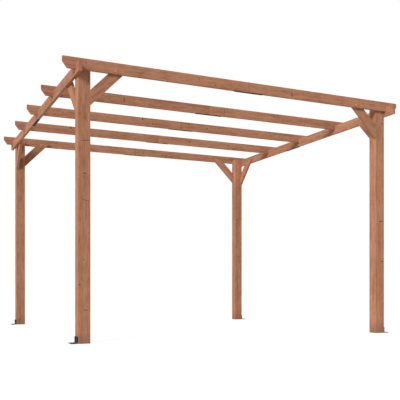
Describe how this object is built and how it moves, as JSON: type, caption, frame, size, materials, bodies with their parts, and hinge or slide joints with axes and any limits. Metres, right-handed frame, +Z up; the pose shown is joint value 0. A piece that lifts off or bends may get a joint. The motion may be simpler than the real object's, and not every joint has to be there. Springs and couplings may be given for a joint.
{
  "type": "wooden pergola",
  "caption": "Open square timber pergola: posts carry side beams and notched overhead rafters, stiffened by corner knee braces and held to the ground by steel foot brackets.",
  "frame": {"origin": "middle of the footprint, on the ground that the posts stand on", "axes": "+Z up; X along the rafters, left to right seen from the front; +Y to the back, along the side beams"},
  "size_m": [3, 3, 2.046],
  "materials": {
    "timber": "red-brown stained softwood, sawn and lightly planed, matt",
    "black_steel": "black coated steel, satin",
    "yellow_zinc": "yellow zinc plated screw heads, satin"
  },
  "bodies": {
    "root": {"post_front_left": "timber", "post_front_right": "timber", "post_back_left": "timber", "post_back_right": "timber", "rafter_1_left": "timber", "rafter_1_right": "timber", "rafter_2_left": "timber", "rafter_2_right": "timber", "rafter_3_left": "timber", "rafter_3_right": "timber", "rafter_4_left": "timber", "rafter_4_right": "timber", "rafter_5_left": "timber", "rafter_5_right": "timber", "left_beam_front": "timber", "left_beam_back": "timber", "right_beam_front": "timber", "right_beam_back": "timber", "rafter_brace_front_left": "timber", "rafter_brace_front_right": "timber", "rafter_brace_back_left": "timber", "rafter_brace_back_right": "timber", "beam_brace_front_left": "timber", "beam_brace_front_right": "timber", "beam_brace_back_left": "timber", "beam_brace_back_right": "timber", "rafter_1_plate": "black_steel", "rafter_2_plate": "black_steel", "rafter_3_plate": "black_steel", "rafter_4_plate": "black_steel", "rafter_5_plate": "black_steel", "left_beam_plate": "black_steel", "right_beam_plate": "black_steel", "foot_bracket_front_left": "black_steel", "foot_bracket_front_right": "black_steel", "foot_bracket_back_left": "black_steel", "foot_bracket_back_right": "black_steel"}
  },
  "joints": []
}
